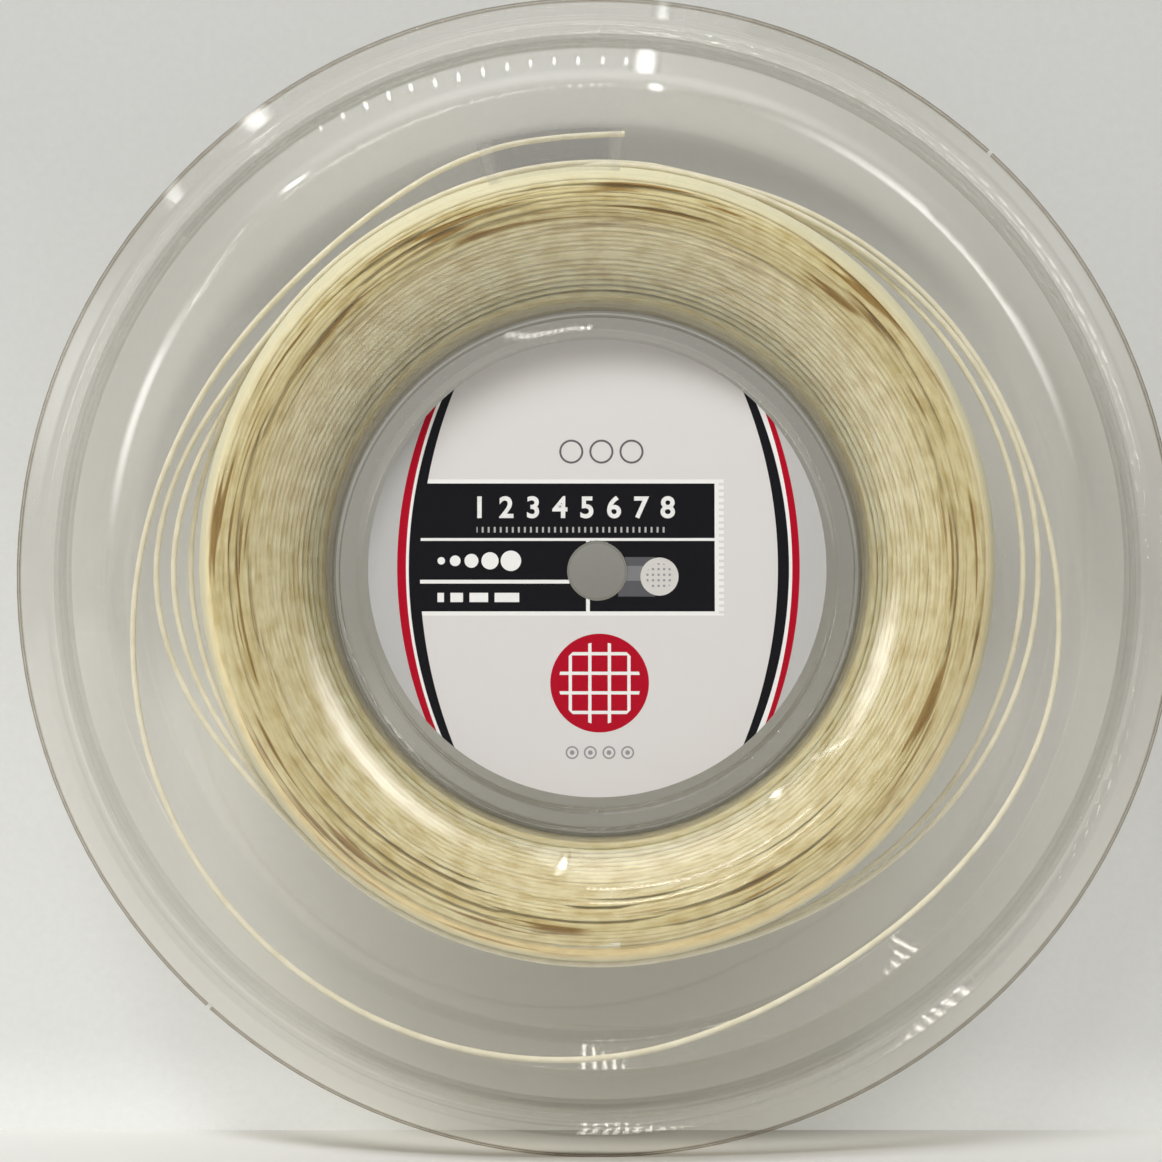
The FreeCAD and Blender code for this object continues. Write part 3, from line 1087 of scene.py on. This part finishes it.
# %% Rows of lights and the ceiling
row_distance = 5.0
ceiling_distance = 5.3
row_lights = 36
row_strength = 20

for name, start, end, size in (
    ("hub_row", (-0.66, 0.86), (0.02, 0.905), (0.006, 0.012)),
    ("near_row", (-1.04, 1.44), (0.06, 1.66), (0.009, 0.09)),
    ("high_row", (-1.48, 2.05), (0.10, 2.60), (0.014, 0.14)),
):
    add_glow_plate(name, start, end, size, row_strength, row_lights, row_distance)
add_glow_plate("ceiling", (-0.5, 1.0), (-0.5, 11.0), (14, 10), 2.8, ahead=ceiling_distance)
print("rows 3, of", row_lights, "lights each")

# %% [markdown]
# Near the camera stand a fan of single dots, which the cone mirrors, and a few longer lights. The
# strips and the glare draw short bright streaks on the hub's wall and the bends, and the two windows
# the broad pale ones on the dome.

# %% Dots, strips and windows
dot_count = 17
dots_radius = 0.855
first_dot = -38
degrees_per_dot = 2.6

for number in range(dot_count):
    turn = math.radians(first_dot + degrees_per_dot * number)
    place = (dots_radius * math.sin(turn), dots_radius * math.cos(turn))
    add_glow_plate("cone_dot_%d" % (number + 1), place, place, (0.010, 0.016), 24)
for name, start, end, size, strength in (
    ("left_strip", (-0.215, 0.320), (-0.300, 0.400), (0.034, 0.16), 26),
    ("right_strip", (0.036, 0.250), (0.052, 0.440), (0.015, 0.21), 26),
    ("right_end", (0.080, 0.800), (0.090, 0.900), (0.05, 0.12), 20),
    ("left_glare", (-0.220, 0.140), (-0.300, 0.320), (0.024, 0.26), 12),
    ("left_window", (-0.342, 0.049), (-0.258, 0.231), (0.20, 0.26), 6),
    ("right_window", (0.137, 0.329), (0.337, 0.129), (0.20, 0.42), 7),
):
    add_glow_plate(name, start, end, size, strength)
print("dots", dot_count)

# %% [markdown]
# The rest of the room is an even pale grey, which fills the shadows softly.

# %% World
world = bpy.data.worlds.new("room")
bpy.context.scene.world = world
world.use_nodes = True
background = world.node_tree.nodes["Background"]
background.inputs["Color"].default_value = (0.75, 0.75, 0.74, 1)
background.inputs["Strength"].default_value = 0.24
bpy.context.scene.view_settings.view_transform = "Standard"
print("world", world.name)
